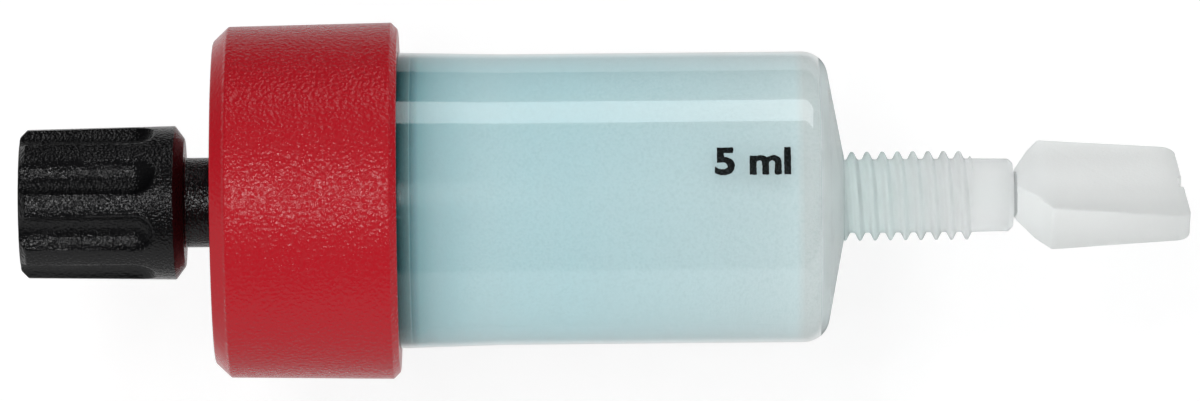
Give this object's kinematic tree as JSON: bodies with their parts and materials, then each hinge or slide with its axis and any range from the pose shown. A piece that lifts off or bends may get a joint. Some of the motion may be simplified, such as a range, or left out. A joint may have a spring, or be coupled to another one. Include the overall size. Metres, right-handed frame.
{
  "type": "prepacked chromatography column",
  "caption": "Small clear barrel with a packed bed, a fixed red lid with a fluted black stop plug, and a threaded outlet nose closed by a snap-off tab.",
  "frame": {"origin": "centre of the free end face of the stop plug's head, on the column's axis", "axes": "+Z along the column's axis from the stop plug through the lid and the barrel to the snap-off tab; -Y is the side that the picture shows, and +X is down in the picture"},
  "size_m": [0.0234, 0.0234, 0.0765],
  "materials": {
    "black_plastic": "moulded, fine sparkling grain",
    "red_plastic": "moulded, leather grain",
    "clear_plastic": "translucent, smooth, slightly milky",
    "gel": "moist fine beads",
    "frit": "porous",
    "seal": "matt"
  },
  "bodies": {
    "column": {"lid": "red_plastic", "lid_seal_ring": "seal", "top_frit": "frit", "packed_bed": "gel", "bottom_frit": "frit", "barrel": "clear_plastic"},
    "plug_seal": {"plug_seal_ring": "seal"},
    "plug": {"stop_plug": "black_plastic"}
  },
  "joints": [
    {"name": "plug_lift", "type": "slide", "parent": "column", "child": "plug_seal", "axis": [0, 0, -1], "range_m": [0, 0.0075]},
    {"name": "plug_turn", "type": "hinge", "parent": "plug_seal", "child": "plug", "pos_m": [0, 0, 0], "axis": [0, 0, -1], "range_deg": [0, 2700]}
  ],
  "couplings": [
    {"joint": "plug_turn", "follows": "plug_lift", "rad_per_m": 6283.2}
  ]
}
